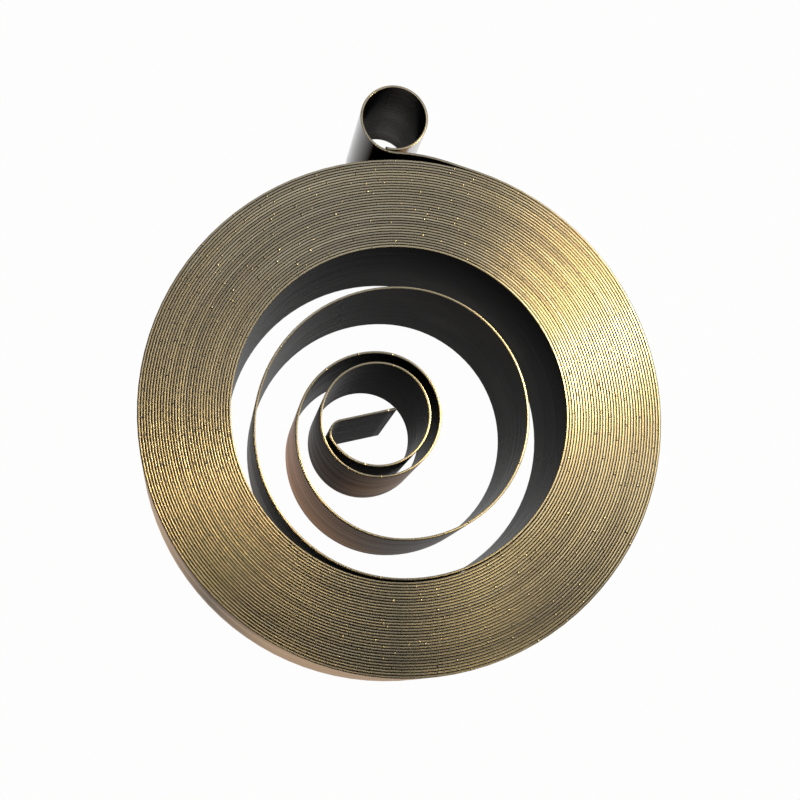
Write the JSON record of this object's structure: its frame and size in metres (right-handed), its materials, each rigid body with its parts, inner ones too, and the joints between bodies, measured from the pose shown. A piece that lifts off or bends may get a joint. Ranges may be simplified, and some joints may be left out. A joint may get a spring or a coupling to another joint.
{
  "type": "power spring",
  "caption": "Flat spiral power spring wound on edge from one steel strip, with a rolled eye at its outer end and a hooked tang at its inner end.",
  "frame": {"origin": "axis of the wound ring, in the plane of the strip's lower edge", "axes": "+Z along the coil axis, across the strip's width; +Y from the coil axis towards the outer eye; +X to the right with the eye at the top"},
  "size_m": [0.0838, 0.0963, 0.025],
  "materials": {
    "spring_steel": "hardened and tempered, dark blued flats and bright straw-coloured edges"
  },
  "bodies": {
    "root": {"spring_strip": "spring_steel"}
  },
  "joints": []
}
